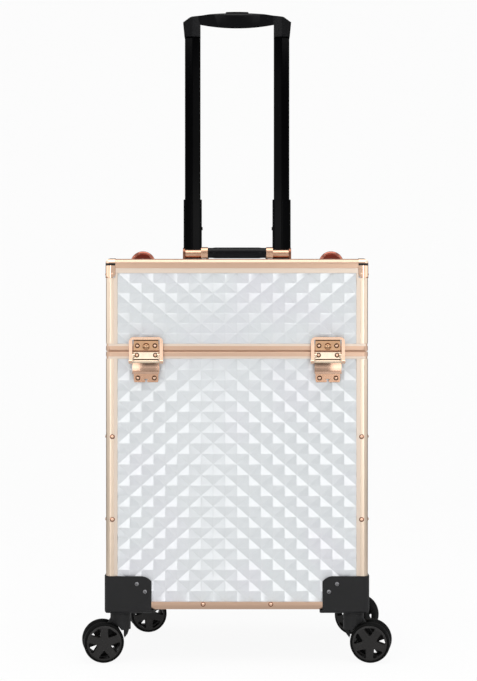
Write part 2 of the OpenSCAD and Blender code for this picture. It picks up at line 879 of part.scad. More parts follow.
module trolley_grip() {
    d = trolley_grip_d;
    z = grip_z;
    x = tube_x;
    color(black) difference() {
        intersection() {
            run_y(tube_y - d / 2, tube_y + d / 2) difference() {
                intersection() {
                    polygon([[-x - 11.8, z], [-x - 13.8, z + 21], [-x - 1.6, z + 29], [0, z + 46],
                        [x + 1.6, z + 29], [x + 13.8, z + 21], [x + 11.8, z], [0, z - 20]]);
                    translate([0, z + grip_rise - grip_arch_r]) circle(grip_arch_r, $fn = 180);
                    translate([-200, z]) square([400, 100]);
                }
                intersection() {
                    translate([-x + 11.2, z - 1]) square([2 * x - 22.4, 17.5]);
                    translate([0, z + 11 + 290]) difference() {
                        square(700, center = true);
                        circle(290, $fn = 180);
                    }
                }
            }
            run_x(2 * x + 40)
                rounded_poly(rect_pts(tube_y - d / 2 + 8, z - 8, tube_y + d / 2 - 8, z + 27), 8);
            translate([0, tube_y, z - 1]) linear_extrude(40) grip_plan();
        }
        both_sides() translate([x, tube_y, z - 1]) linear_extrude(trolley_top - z + 1) tube_outline(inner_r);
        translate([-17, tube_y - 5.9, z + button_floor]) cube([34, 11.8, grip_rise]);
    }
}

module trolley_button() {
    z = grip_z + button_floor;
    color(grey) intersection() {
        translate([0, 0, z + button_travel + 0.5]) linear_extrude(13)
            rounded_poly(rect_pts(-14.6, tube_y - 3.6, 14.6, tube_y + 3.6), 2);
        run_y(tube_y - 8, tube_y + 8)
            translate([0, grip_z + grip_rise + 2.5 - grip_arch_r]) circle(grip_arch_r, $fn = 180);
    }
}

// Fork web outline: trail along x, height along y
module fork_outline() {
    a = caster_trail;
    z = axle_z;
    boss = 8;
    polygon([[0.3 - housing_r, fork_base + 0.5], [housing_r - 0.3, fork_base + 0.5], [a + boss - 1, z + 3],
        [a, z - boss], [a - boss + 1, z - 3], [-2, z], [-9, z + 9], [-12, z + 19]]);
    translate([a, z]) circle(boss);
}

// Caster frame at a corner, turned to its resting direction
module at_caster(sx, sy, dir) {
    translate([sx * (fx - caster_inset), sy * (fy - caster_inset), 0]) rotate([0, 0, dir]) children();
}

module caster_fork() {
    difference() {
        union() {
            difference() {
                translate([0, 0, housing_low]) cylinder(r = housing_r, h = fork_top - housing_low);
                translate([caster_trail, housing_r + 1, axle_z]) rotate([90, 0, 0])
                    cylinder(r = wheel_d / 2 + 1.3, h = 2 * housing_r + 2);
            }
            run_y(-fork_t / 2, fork_t / 2) fork_outline();
        }
        translate([0, 0, fork_base - 1]) cylinder(r = kingpin_r + pin_play, h = fork_top - fork_base + 2);
        cylinder(r = kingpin_head + 0.4, h = fork_base);
        translate([caster_trail, fork_t, axle_z]) rotate([90, 0, 0]) cylinder(r = axle_r, h = 2 * fork_t);
    }
}

module caster_axle() {
    l = wheel_in + wheel_w - axle_cover - 0.4;
    translate([caster_trail, l, axle_z]) rotate([90, 0, 0]) cylinder(r = axle_r, h = 2 * l);
}

// Wheel on the side s: tyre ring, closed disc over a blind axle bore and five windows
module caster_wheel(s) {
    r = wheel_d / 2;
    w = wheel_w;
    bore = axle_r + pin_play;
    hub = axle_r + 4;
    translate([caster_trail, s * wheel_in, axle_z]) rotate([-90 * s, 0, 0]) difference() {
        rotate_extrude() polygon([[bore, 0], [hub, 0], [hub, w * 0.3], [r - 5, w * 0.3], [r - 5, 0],
            [r - 2.5, 0], [r - 0.6, w * 0.14], [r, w * 0.36], [r, w * 0.64], [r - 0.6, w * 0.86],
            [r - 2.5, w - 0.8], [r - 3.2, w - 1.6], [r - 4, w - 0.9], [r - 6, w], [0, w],
            [0, w - axle_cover], [bore, w - axle_cover]]);
        for (i = [0:4]) rotate([0, 0, i * 72 + 90]) translate([0, 0, -1]) linear_extrude(w + 2)
            rounded_poly([[hub + 4.4, 0], [r - 8.2, -5], [r - 8.2, 5]], 1.8);
    }
}

module caster_fork_fl() {
    color(black) at_caster(-1, -1, dir_fl) caster_fork();
}

module caster_fork_fr() {
    color(black) at_caster(1, -1, dir_fr) caster_fork();
}

module caster_fork_rl() {
    color(black) at_caster(-1, 1, dir_rl) caster_fork();
}

module caster_fork_rr() {
    color(black) at_caster(1, 1, dir_rr) caster_fork();
}

module caster_axle_fl() {
    color(grey) at_caster(-1, -1, dir_fl) caster_axle();
}

module caster_axle_fr() {
    color(grey) at_caster(1, -1, dir_fr) caster_axle();
}

module caster_axle_rl() {
    color(grey) at_caster(-1, 1, dir_rl) caster_axle();
}

module caster_axle_rr() {
    color(grey) at_caster(1, 1, dir_rr) caster_axle();
}

module wheel_fl_a() {
    color(black) at_caster(-1, -1, dir_fl) caster_wheel(1);
}

module wheel_fl_b() {
    color(black) at_caster(-1, -1, dir_fl) caster_wheel(-1);
}

module wheel_fr_a() {
    color(black) at_caster(1, -1, dir_fr) caster_wheel(1);
}

module wheel_fr_b() {
    color(black) at_caster(1, -1, dir_fr) caster_wheel(-1);
}

module wheel_rl_a() {
    color(black) at_caster(-1, 1, dir_rl) caster_wheel(1);
}

module wheel_rl_b() {
    color(black) at_caster(-1, 1, dir_rl) caster_wheel(-1);
}

module wheel_rr_a() {
    color(black) at_caster(1, 1, dir_rr) caster_wheel(1);
}

module wheel_rr_b() {
    color(black) at_caster(1, 1, dir_rr) caster_wheel(-1);
}

body_front_panel();
body_back_panel();
body_side_panels();
body_bottom_panel();
body_corner_posts();
body_rim_rails();
body_base_rails();
body_lining();
corner_guards();
guard_screws();
frame_rivets();
caster_kingpins();
latch_bases();
latch_base_rivets();
trolley_outer_tubes();
trolley_brackets();
bracket_screws();
top_front_panel();
top_back_panel();
top_side_panels();
top_panel();
top_corner_posts();
top_edge_rails();
top_rim_rails();
top_lining();
top_corner_caps();
latch_keepers();
latch_keeper_rivets();
carry_handle_brackets();
strap_saddles();
carry_handle_grip();
carry_handle_arms();
strap_ring_left();
strap_ring_right();
latch_lever_left();
latch_lever_right();
latch_bail_left();
latch_bail_right();
trolley_middle_tubes();
trolley_lock_nubs();
trolley_inner_tubes();
trolley_grip();
trolley_button();
caster_fork_fl();
caster_fork_fr();
caster_fork_rl();
caster_fork_rr();
caster_axle_fl();
caster_axle_fr();
caster_axle_rl();
caster_axle_rr();
wheel_fl_a();
wheel_fl_b();
wheel_fr_a();
wheel_fr_b();
wheel_rl_a();
wheel_rl_b();
wheel_rr_a();
wheel_rr_b();
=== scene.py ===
import json
import math

import bmesh
import bpy
from mathutils import Matrix, Vector

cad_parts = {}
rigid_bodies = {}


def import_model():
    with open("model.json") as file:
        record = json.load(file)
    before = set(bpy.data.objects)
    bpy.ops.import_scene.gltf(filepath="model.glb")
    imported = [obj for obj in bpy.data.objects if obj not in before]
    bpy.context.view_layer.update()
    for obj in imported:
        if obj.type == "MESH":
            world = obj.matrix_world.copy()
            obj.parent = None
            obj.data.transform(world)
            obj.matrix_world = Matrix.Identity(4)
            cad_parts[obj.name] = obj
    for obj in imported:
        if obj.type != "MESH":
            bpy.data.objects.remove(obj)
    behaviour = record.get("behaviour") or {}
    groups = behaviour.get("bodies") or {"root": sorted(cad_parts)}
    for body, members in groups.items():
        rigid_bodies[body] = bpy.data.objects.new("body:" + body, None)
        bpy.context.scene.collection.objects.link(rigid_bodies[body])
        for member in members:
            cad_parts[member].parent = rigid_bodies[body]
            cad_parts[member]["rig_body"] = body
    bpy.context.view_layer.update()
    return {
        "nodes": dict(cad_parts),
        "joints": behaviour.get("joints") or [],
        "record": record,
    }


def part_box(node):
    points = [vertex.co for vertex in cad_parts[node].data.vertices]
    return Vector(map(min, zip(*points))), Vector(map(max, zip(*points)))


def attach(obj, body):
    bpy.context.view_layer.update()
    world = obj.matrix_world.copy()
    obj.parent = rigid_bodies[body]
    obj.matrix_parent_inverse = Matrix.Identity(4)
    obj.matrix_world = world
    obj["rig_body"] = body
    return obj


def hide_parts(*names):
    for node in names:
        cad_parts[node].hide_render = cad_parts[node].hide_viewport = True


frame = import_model()
nodes = frame["nodes"]
slotOf = {part["node"]: part["material_slot"] for part in frame["record"]["subparts"]}
mm = 0.001
print("frame loaded:", len(nodes), "nodes")


def hexColour(code):  # sRGB hex to linear
    parts = [int(code[i:i + 2], 16) / 255 for i in (0, 2, 4)]
    return (*[c / 12.92 if c <= 0.04045 else ((c + 0.055) / 1.055) ** 2.4 for c in parts], 1)


valueA, valueB, colourA, colourB = 2, 3, 6, 7  # inputs of a mix node
colourOut = 2  # its output for colours


def addNode(tree, kind, inputs=None, **settings):  # a node with its settings, constants and links
    node = tree.nodes.new(kind)
    for name, value in settings.items():
        setattr(node, name, value)
    for key, value in (inputs or {}).items():
        if isinstance(value, bpy.types.NodeSocket):
            tree.links.new(value, node.inputs[key])
        else:
            node.inputs[key].default_value = value
    return node


def startMaterial(name):  # empty tree with object coordinates and a principled shader
    material = bpy.data.materials.new(name)
    material.use_nodes = True
    tree = material.node_tree
    tree.nodes.clear()
    place = addNode(tree, "ShaderNodeTexCoord").outputs["Object"]
    shader = addNode(tree, "ShaderNodeBsdfPrincipled")
    addNode(tree, "ShaderNodeOutputMaterial", {"Surface": shader.outputs["BSDF"]})
    return material, tree, place, shader


def setShader(shader, **values):  # constants straight on the shader's own sockets
    for name, value in values.items():
        shader.inputs[name.replace("_", " ")].default_value = value


pearl = {"light": "E1E5E7", "shade": "DCE0E3", "lilac": "E0DEE6", "cloudMm": 42, "lilacMm": 70,
         "lilacFrom": 0.5, "lilacFull": 0.75, "lilacMost": 0.5, "grainMm": 0.9, "grainDepth": 0.1,
         "grainStrength": 0.03, "cloudDetail": 3.0, "lilacDetail": 1.0, "grainDetail": 2.0,
         "roughness": 0.14, "ior": 2.2}  # pearl flakes mirror more than plain PVC


def pearlSheet():  # PVC-faced board, pressed and lacquered: glossy with faint mother-of-pearl clouds
    material, tree, place, shader = startMaterial("pearlPvcSheet")
    clouds = addNode(tree, "ShaderNodeTexNoise", {
        "Vector": place, "Scale": 1 / (pearl["cloudMm"] * mm), "Detail": pearl["cloudDetail"]})
    pale = addNode(tree, "ShaderNodeMix", {
        "Factor": clouds.outputs["Fac"],
        colourA: hexColour(pearl["light"]), colourB: hexColour(pearl["shade"])}, data_type="RGBA")
    patches = addNode(tree, "ShaderNodeTexNoise", {
        "Vector": place, "Scale": 1 / (pearl["lilacMm"] * mm), "Detail": pearl["lilacDetail"]})
    tint = addNode(tree, "ShaderNodeMapRange", {
        "Value": patches.outputs["Fac"], "From Min": pearl["lilacFrom"], "From Max": pearl["lilacFull"],
        "To Max": pearl["lilacMost"]})
    tinted = addNode(tree, "ShaderNodeMix", {
        "Factor": tint.outputs["Result"],
        colourA: pale.outputs[colourOut], colourB: hexColour(pearl["lilac"])}, data_type="RGBA")
    grain = addNode(tree, "ShaderNodeTexNoise", {
        "Vector": place, "Scale": 1 / (pearl["grainMm"] * mm), "Detail": pearl["grainDetail"]})
    bump = addNode(tree, "ShaderNodeBump", {
        "Height": grain.outputs["Fac"], "Strength": pearl["grainStrength"],
        "Distance": pearl["grainDepth"] * mm})
    tree.links.new(tinted.outputs[colourOut], shader.inputs["Base Color"])
    tree.links.new(bump.outputs["Normal"], shader.inputs["Normal"])
    setShader(shader, Roughness=pearl["roughness"], IOR=pearl["ior"])
    return material


metalGrain = {"detail": 3.0, "from": 0.3, "to": 0.7, "depth": 0.05}  # noise range for the gloss, depth in mm
mouldGrain = {"detail": 2.0, "depth": 0.08, "patches": 30.0, "patchDetail": 3.0}  # patches to the metre


def metalFinish(name, base, low, high, grainMm, strength):  # metal whose grain varies its gloss
    material, tree, place, shader = startMaterial(name)
    grain = addNode(tree, "ShaderNodeTexNoise", {
        "Vector": place, "Scale": 1 / (grainMm * mm), "Detail": metalGrain["detail"]})
    gloss = addNode(tree, "ShaderNodeMapRange", {
        "Value": grain.outputs["Fac"], "From Min": metalGrain["from"], "From Max": metalGrain["to"],
        "To Min": low, "To Max": high})
    bump = addNode(tree, "ShaderNodeBump", {
        "Height": grain.outputs["Fac"], "Strength": strength, "Distance": metalGrain["depth"] * mm})
    tree.links.new(gloss.outputs["Result"], shader.inputs["Roughness"])
    tree.links.new(bump.outputs["Normal"], shader.inputs["Normal"])
    setShader(shader, Base_Color=hexColour(base), Metallic=1.0)
    return material


def mouldedFinish(name, base, worn, roughness, grainMm, strength, specular):  # moulded plastic or coating
    material, tree, place, shader = startMaterial(name)
    grain = addNode(tree, "ShaderNodeTexNoise", {
        "Vector": place, "Scale": 1 / (grainMm * mm), "Detail": mouldGrain["detail"]})
    handled = addNode(tree, "ShaderNodeTexNoise", {
        "Vector": place, "Scale": mouldGrain["patches"], "Detail": mouldGrain["patchDetail"]})
    tone = addNode(tree, "ShaderNodeMix", {
        "Factor": handled.outputs["Fac"], colourA: hexColour(base), colourB: hexColour(worn)},
        data_type="RGBA")
    bump = addNode(tree, "ShaderNodeBump", {
        "Height": grain.outputs["Fac"], "Strength": strength, "Distance": mouldGrain["depth"] * mm})
    tree.links.new(tone.outputs[colourOut], shader.inputs["Base Color"])
    tree.links.new(bump.outputs["Normal"], shader.inputs["Normal"])
    setShader(shader, Roughness=roughness, Specular_IOR_Level=specular)
    return material


metals = {  # name, sRGB, least and most roughness, grain in mm and its strength
    "satin": ("anodisedAluminium", "DCBAA2", 0.34, 0.42, 0.5, 0.04),  # etched and dyed rose gold: soft sheen
    "post": ("paleAnodisedPost", "F0DCC7", 0.3, 0.38, 0.5, 0.04),  # same extrusion, paler copy: painted glare on the posts
    "lip": ("paleAnodisedLip", "EADACB", 0.4, 0.5, 0.5, 0.04),  # thin lip beside the white board, paler copy of the satin: painted sheen
    "plated": ("platedSteel", "F0CBB1", 0.05, 0.09, 6.0, 0.02),  # polished under a copper-gold plate
    "platedPale": ("thinPlatedSteel", "F4E0C8", 0.05, 0.09, 6.0, 0.02),  # paler copy of the plate: painted highlight on latch bases and rolled edges
    "platedDeep": ("thickPlatedSteel", "C49C7A", 0.06, 0.1, 6.0, 0.02),  # darker copy of the plate: painted shade on the keepers
    "brushed": ("brushedPlatedSteel", "D6AC90", 0.2, 0.28, 3.0, 0.02),  # brushed, then plated: blurred shine
    "lever": ("polishedLeverSteel", "C8A690", 0.14, 0.2, 6.0, 0.02),  # polished, darker copy of the plate: painted shade; light runs to dark in its reflections
    "bronze": ("bronzedSteel", "8E5F4A", 0.1, 0.16, 3.0, 0.02),  # darker copy of the plate: painted shade on handle brackets and round frame rivets, with sharp lights
    "seat": ("tarnishedSteel", "4A2C1A", 0.2, 0.3, 1.0, 0.02),  # dark lines and rings: painted shade in gaps and round rivets
    "redGold": ("copperPlatedSteel", "B87462", 0.08, 0.14, 6.0, 0.02),  # redder copy of the plate: painted interreflection, deeper tone than the latches
    "darkRed": ("redCopperPlate", "7C372B", 0.1, 0.18, 3.0, 0.02),  # darker copy of the same plate: painted shade inside the loops' rims
    "screw": ("zincPlatedSteel", "868688", 0.22, 0.34, 1.0, 0.04),  # bright grey heads
    "steel": ("blackZincSteel", "3A3A3C", 0.3, 0.42, 1.0, 0.04),  # dull black heads and pins
}
mouldings = {  # name, sRGB, sRGB where handled, roughness, grain in mm and its strength, specular level
    "abs": ("mouldedAbs", "1C1C1D", "202021", 0.5, 0.8, 0.1, 0.25),  # spark-eroded mould: even, dull black
    "tube": ("blackAnodisedTube", "010102", "030304", 0.14, 2.0, 0.01, 0.04),  # dyed black: few, sharp lights
    "grip": ("softGripPlastic", "08080A", "0B0B0E", 0.22, 0.7, 0.02, 0.16),  # smooth mould: soft streaks
    "hub": ("mouldedNylon", "1E1D1C", "232121", 0.42, 0.9, 0.06, 0.3),  # waxy charcoal
    "tyre": ("polyurethaneTyre", "040404", "060606", 0.55, 0.6, 0.06, 0.1),  # cast rubbery black
    "groove": ("blackLacquer", "0A0908", "0E0C0B", 0.3, 1.0, 0.01, 0.3),  # black band on the caps: painted dark reflection
    "cloth": ("brushedLining", "0C0C0D", "131315", 0.9, 0.5, 0.5, 0.2),  # napped cloth: no shine
}
finish = {"pearl": pearlSheet()}
finish.update({key: metalFinish(*values) for key, values in metals.items()})
finish.update({key: mouldedFinish(*values) for key, values in mouldings.items()})
print("materials made:", len(finish))


def pieceFrom(mesh, name, body, slot, *stoodFor):  # mesh in place, riding on its body
    piece = bpy.data.objects.new(name, mesh)
    bpy.context.scene.collection.objects.link(piece)
    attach(piece, body)
    if stoodFor:
        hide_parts(*stoodFor)
    return piece


def dressIn(mesh, *materials):  # these materials alone, the first on every face
    mesh.materials.clear()
    for material in materials:
        mesh.materials.append(material)
    mesh.polygons.foreach_set("material_index", [0] * len(mesh.polygons))


def makeCarrier(mesh):  # object that holds a mesh while modifiers work on it
    carrier = bpy.data.objects.new("carrier", mesh)
    bpy.context.scene.collection.objects.link(carrier)
    return carrier


def bakedMesh(carrier):  # plain mesh as its modifiers leave it; the carrier goes
    shown = carrier.evaluated_get(bpy.context.evaluated_depsgraph_get())
    mesh = bpy.data.meshes.new_from_object(shown)
    bpy.data.objects.remove(carrier)
    return mesh


def evaluatedMesh(tree, settings, points=None):  # runs a geometry tree and hands back its plain mesh
    carrier = makeCarrier(points or bpy.data.meshes.new("carrier"))
    modifier = carrier.modifiers.new("tree", "NODES")
    modifier.node_group = tree
    for item in tree.interface.items_tree:
        if item.in_out == "INPUT" and item.name in settings:
            modifier[item.identifier] = settings[item.name]
    mesh = bakedMesh(carrier)
    dressIn(mesh, settings["Finish"])
    return mesh


def startTree(name, inputs):  # geometry tree with named inputs; returns it and its input sockets
    tree = bpy.data.node_groups.new(name, "GeometryNodeTree")
    for label, kind in inputs.items():
        tree.interface.new_socket(label, in_out="INPUT", socket_type="NodeSocket" + kind)
    tree.interface.new_socket("Geometry", in_out="OUTPUT", socket_type="NodeSocketGeometry")
    return tree, addNode(tree, "NodeGroupInput").outputs


def endTree(tree, geometry, material):  # real mesh, smooth, with its material
    real = addNode(tree, "GeometryNodeRealizeInstances", {"Geometry": geometry})
    smooth = addNode(tree, "GeometryNodeSetShadeSmooth", {"Geometry": real.outputs[0]})
    dressed = addNode(tree, "GeometryNodeSetMaterial", {
        "Geometry": smooth.outputs["Geometry"], "Material": material})
    addNode(tree, "NodeGroupOutput", {"Geometry": dressed.outputs["Geometry"]})


rounding = {"hard": 32, "sharp": 35, "segments": 2, "profile": 0.5,  # angles in degrees
            "weld": 0.002, "seam": 0.6}  # mm between points that are one, degrees between faces that are one


def bevelEdges(b, chosen, width):
    bmesh.ops.bevel(b, geom=chosen, offset=width * mm, offset_type="OFFSET", segments=rounding["segments"],
                    profile=rounding["profile"], affect="EDGES", clamp_overlap=True)


def roundHardEdges(b, width):
    limit = math.radians(rounding["hard"])
    bevelEdges(b, [e for e in b.edges if len(e.link_faces) == 2 and e.calc_face_angle(0) > limit], width)


def cutThrough(b, place, facing):  # new edges where a plane crosses the mesh
    bmesh.ops.bisect_plane(b, geom=[*b.verts, *b.edges, *b.faces], plane_co=Vector(place) * mm,
                           plane_no=facing)


def evenShaded(mesh):  # smooth, with large faces kept flat up to their rounding
    for extra in [a.name for a in mesh.attributes if a.name == "custom_normal"]:
        mesh.attributes.remove(mesh.attributes[extra])
    mesh.shade_smooth()
    mesh.set_sharp_from_angle(angle=math.radians(rounding["sharp"]))
    carrier = makeCarrier(mesh)
    even = carrier.modifiers.new("even", "WEIGHTED_NORMAL")
    even.keep_sharp = True
    return bakedMesh(carrier)


diamondSteps = (  # result, operation and terms, in order
    ("across", "ADD", "Columns", 1.0),
    ("up", "ADD", "Rows", 1.0),
    ("shareX", "DIVIDE", "X", "Width"),
    ("shareY", "DIVIDE", "Y", "Height"),
    ("fromLeft", "ADD", "shareX", 0.5),
    ("fromFoot", "ADD", "shareY", 0.5),
    ("s", "MULTIPLY", "fromLeft", "Columns"),
    ("t", "MULTIPLY", "fromFoot", "Rows"),
    ("sum", "ADD", "s", "t"),
    ("rest", "SUBTRACT", "s", "t"),
    ("a", "MULTIPLY", "sum", 0.5),
    ("b", "MULTIPLY", "rest", 0.5),
    ("farA", "PINGPONG", "a", 0.5),
    ("farB", "PINGPONG", "b", 0.5),
    ("far", "MAXIMUM", "farA", "farB"),
    ("height", "MULTIPLY_ADD", "far", -2.0, 1.0),
    ("lift", "MULTIPLY", "height", "Emboss"),
)


def diamondTree():  # staggered pyramids: a lattice turned 45 degrees, a grid point to each tip and corner
    tree, given = startTree("diamondSheet", {
        "Width": "Float", "Height": "Float", "Columns": "Int", "Rows": "Int", "Emboss": "Float",
        "Finish": "Material"})
    at = addNode(tree, "ShaderNodeSeparateXYZ", {
        "Vector": addNode(tree, "GeometryNodeInputPosition").outputs["Position"]})
    value = {socket.name: socket for socket in (*given, *at.outputs) if socket.name}
    for name, operation, *terms in diamondSteps:
        inputs = {i: value[term] if isinstance(term, str) else term for i, term in enumerate(terms)}
        value[name] = addNode(tree, "ShaderNodeMath", inputs, operation=operation).outputs[0]
    grid = addNode(tree, "GeometryNodeMeshGrid", {
        "Size X": given["Width"], "Size Y": given["Height"],
        "Vertices X": value["across"], "Vertices Y": value["up"]})
    raised = addNode(tree, "GeometryNodeSetPosition", {
        "Geometry": grid.outputs["Mesh"],
        "Offset": addNode(tree, "ShaderNodeCombineXYZ", {"Z": value["lift"]}).outputs["Vector"]})
    endTree(tree, raised.outputs["Geometry"], given["Finish"])
    return tree


sheet = {"halfW": 170, "halfD": 120, "base": 68, "split": 403, "rim": 403.3, "top": 523, "set": 2.5,  # mm
         "edgeIn": 8.2, "board": 4, "emboss": 2, "cellW": 15.5, "cellH": 13.7, "ridge": 0.35, "foot": 0.2,
         "postLeg": 15.3, "railLeg": 18.7, "baseBead": 10.6, "rimLeg": 9.5, "rimIn": 5.7, "gap": 0.3}
diamonds = diamondTree()


def embossedSheet(halfX, edge, field, columns, rows):  # closed board, face on z = 0, its diamonds towards +z
    low, high = field
    foot = sheet["foot"]
    mesh = evaluatedMesh(diamonds, {
        "Width": 2 * halfX[1] * mm, "Height": (high - low) * mm, "Columns": columns, "Rows": rows,
        "Emboss": sheet["emboss"] * mm, "Finish": finish["pearl"]})
    b = bmesh.new()
    b.from_mesh(mesh)
    bmesh.ops.connect_verts(b, verts=[v for v in b.verts if v.co.z < sheet["emboss"] * mm / 2])  # valleys
    bevelEdges(b, [e for e in b.edges if not e.is_boundary], sheet["ridge"])
    bmesh.ops.translate(b, verts=b.verts, vec=(0, (low + high) / 2 * mm, 0))
    rings = ((halfX[1], low, high, 0), (halfX[1] + foot, low - foot, high + foot, 0),  # field and its foot
             (halfX[0], *edge, 0), (halfX[0], *edge, -sheet["board"]))  # front and back of the board
    for (wasHalf, wasLow, wasHigh, _), (half, low, high, z) in zip(rings, rings[1:]):
        grown = bmesh.ops.extrude_edge_only(b, edges=[e for e in b.edges if e.is_boundary])
        for v in [g for g in grown["geom"] if isinstance(g, bmesh.types.BMVert)]:
            share = (v.co.y / mm - wasLow) / (wasHigh - wasLow)
            v.co = (v.co.x * half / wasHalf, (low + share * (high - low)) * mm, z * mm)
    bmesh.ops.contextual_create(b, geom=[e for e in b.edges if e.is_boundary])
    bmesh.ops.recalc_face_normals(b, faces=b.faces)
    b.to_mesh(mesh)
    b.free()
    return evenShaded(mesh)


def joined(name, parts):  # several placed meshes as one
    b = bmesh.new()
    for mesh, place in parts:
        mesh.transform(place)
        b.from_mesh(mesh)
    whole = bpy.data.meshes.new(name)
    b.to_mesh(whole)
    b.free()
    dressIn(whole, parts[0][0].materials[0])
    return whole


def standing(turn, away):  # sheet turned upright at a distance from the middle, facing out
    return (Matrix.Rotation(math.radians(turn), 4, "Z") @ Matrix.Translation((0, -away * mm, 0))
            @ Matrix.Rotation(math.radians(90), 4, "X"))


def evenCells(length, cell):
    return 2 * max(1, round(length / cell / 2))


def makePanels():
    g = sheet["gap"]
    lowerField = (sheet["base"] + sheet["baseBead"] + g, sheet["split"] - sheet["rimLeg"] - g)
    upperField = (sheet["rim"] + sheet["rimLeg"] + g, sheet["top"] - sheet["railLeg"] - g)
    kinds = {
        "body": ((sheet["base"] + sheet["edgeIn"], sheet["split"] - sheet["rimIn"]), lowerField),
        "top": ((sheet["rim"] + sheet["rimIn"], sheet["top"] - sheet["edgeIn"]), upperField),
    }
    for part, (edge, field) in kinds.items():
        rows = max(2, round((field[1] - field[0] + 2 * g) / sheet["cellH"]))
        body = "body" if part == "body" else "top_case"
        for wide, deep, walls in ((sheet["halfW"], sheet["halfD"], {"front": [0], "back": [180]}),
                                  (sheet["halfD"], sheet["halfW"], {"side": [90, 270]})):
            u = wide - sheet["postLeg"] - g
            columns = evenCells(2 * u, sheet["cellW"])
            for wall, turns in walls.items():
                parts = [(embossedSheet((wide - sheet["edgeIn"], u), edge, field, columns, rows),
                          standing(turn, deep - sheet["set"])) for turn in turns]
                node = f"{part}_{wall}_panel" + ("s" if wall == "side" else "")
                name = f"{part}{wall.capitalize()}Sheet"
                pieceFrom(joined(name, parts), name, body, "pearl_panel", node)
    u, v = (sheet[k] - sheet["railLeg"] - g for k in ("halfW", "halfD"))
    inner = sheet["halfD"] - sheet["edgeIn"]
    lid = embossedSheet((sheet["halfW"] - sheet["edgeIn"], u), (-inner, inner), (-v, v),
                        evenCells(2 * u, sheet["cellW"]), evenCells(2 * v, sheet["cellH"]))
    lid = joined("topSheet", [(lid, Matrix.Translation((0, 0, (sheet["top"] - sheet["set"]) * mm)))])
    pieceFrom(lid, "topSheet", "top_case", "pearl_panel", "top_panel")
    print("embossed sheets made")


makePanels()


headSizes = {  # radius, height and width of slot in mm
    # the shade rings are thin dark discs under rivet heads: painted shade
    "frameRivet": (2.2, 1.2, 0), "frameSeat": (3.2, 0.3, 0), "capRivet": (1.5, 0.7, 0),
    "guardScrew": (2.8, 1.2, 0.8), "bracketScrew": (3, 1.4, 0.8), "latchRivet": (2, 0.9, 0),
    "latchSeat": (3.2, 0.25, 0),
}
headShape = {"segments": 20, "rings": 12, "slotReach": 1.2, "slotTurns": (45, 135), "sharp": 40}


def headTree():  # round heads on points, with a cross slot where one is asked for
    tree, given = startTree("fastenerHeads", {
        "Points": "Geometry", "Radius": "Float", "Height": "Float", "Slot": "Float", "Finish": "Material"})
    ball = addNode(tree, "GeometryNodeMeshUVSphere", {
        "Segments": headShape["segments"], "Rings": headShape["rings"], "Radius": 1.0})
    size = addNode(tree, "ShaderNodeCombineXYZ", {
        "X": given["Radius"], "Y": given["Radius"], "Z": given["Height"]})
    dome = addNode(tree, "GeometryNodeTransform", {
        "Geometry": ball.outputs["Mesh"], "Scale": size.outputs["Vector"]})
    length = addNode(tree, "ShaderNodeMath", {
        0: given["Radius"], 1: headShape["slotReach"]}, operation="MULTIPLY")
    bar = addNode(tree, "GeometryNodeMeshCube", {
        "Size": addNode(tree, "ShaderNodeCombineXYZ", {
            "X": length.outputs[0], "Y": given["Slot"], "Z": given["Height"]}).outputs["Vector"]})
    lift = addNode(tree, "ShaderNodeCombineXYZ", {"Z": given["Height"]})
    cut = addNode(tree, "GeometryNodeMeshBoolean", {"Mesh 1": dome.outputs["Geometry"]},
                  operation="DIFFERENCE")
    for turn in headShape["slotTurns"]:
        groove = addNode(tree, "GeometryNodeTransform", {
            "Geometry": bar.outputs["Mesh"], "Rotation": (0, 0, math.radians(turn)),
            "Translation": lift.outputs["Vector"]})
        tree.links.new(groove.outputs["Geometry"], cut.inputs["Mesh 2"])
    slotted = addNode(tree, "FunctionNodeCompare", {0: given["Slot"], 1: 0.0}, operation="GREATER_THAN")
    head = addNode(tree, "GeometryNodeSwitch", {
        "Switch": slotted.outputs[0], "False": dome.outputs["Geometry"], "True": cut.outputs["Mesh"]},
        input_type="GEOMETRY")
    facing = addNode(tree, "GeometryNodeInputNamedAttribute", {"Name": "facing"}, data_type="FLOAT_VECTOR")
    turned = addNode(tree, "FunctionNodeAlignRotationToVector", {"Vector": facing.outputs[0]}, axis="Z")
    placed = addNode(tree, "GeometryNodeInstanceOnPoints", {
        "Points": given["Points"], "Instance": head.outputs[0], "Rotation": turned.outputs[0]})
    endTree(tree, placed.outputs["Instances"], given["Finish"])
    return tree


heads = headTree()


def headPiece(name, spots, kind, material, node, stands=True):  # spots are (place in mm, facing)
    points = bpy.data.meshes.new(name)
    points.from_pydata([Vector(place) * mm for place, _ in spots], [], [])
    out = points.attributes.new("facing", "FLOAT_VECTOR", "POINT")
    out.data.foreach_set("vector", [x for _, facing in spots for x in facing])
    radius, height, slot = headSizes[kind]
    mesh = evaluatedMesh(heads, {
        "Radius": radius * mm, "Height": height * mm, "Slot": slot * mm, "Finish": finish[material]}, points)
    mesh.set_sharp_from_angle(angle=math.radians(headShape["sharp"]))
    pieceFrom(mesh, name, nodes[node]["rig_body"], slotOf[node], *([node] if stands else []))


fasteners = {  # mm, but postRivetAt in shares of bodyHigh
    "postRivetIn": 8.6, "postRivetAt": (0.35, 0.67), "baseRivetX": 43.8, "sideRivetY": 30, "baseRivetUp": 7.6,
    "capRivetIn": 8.6, "capRivetDown": 20, "capWall": 0.6,
    "guardScrews": ((40.5, 34), (51, 24)), "guardWall": 1.8, "bodyHigh": 335,
    "bracketX": (10, 34), "bracketZ": (389.5, 82.5), "bracketOut": 27.5,
    "latchX": 117.5, "plate": 1.5, "baseRivets": ((12, -5), (10.6, -34.5)), "keeperRivets": ((11.4, 7.2),),
}


def cornerSpots(inward, up, out):  # one spot on both faces of each of the four upright edges
    spots = []
    for sx in (-1, 1):
        for sy in (-1, 1):
            x, y = sheet["halfW"], sheet["halfD"]
            spots.append(((sx * (x - inward), sy * (y + out), up), (0, sy, 0)))
            spots.append(((sx * (x + out), sy * (y - inward), up), (sx, 0, 0)))
    return spots


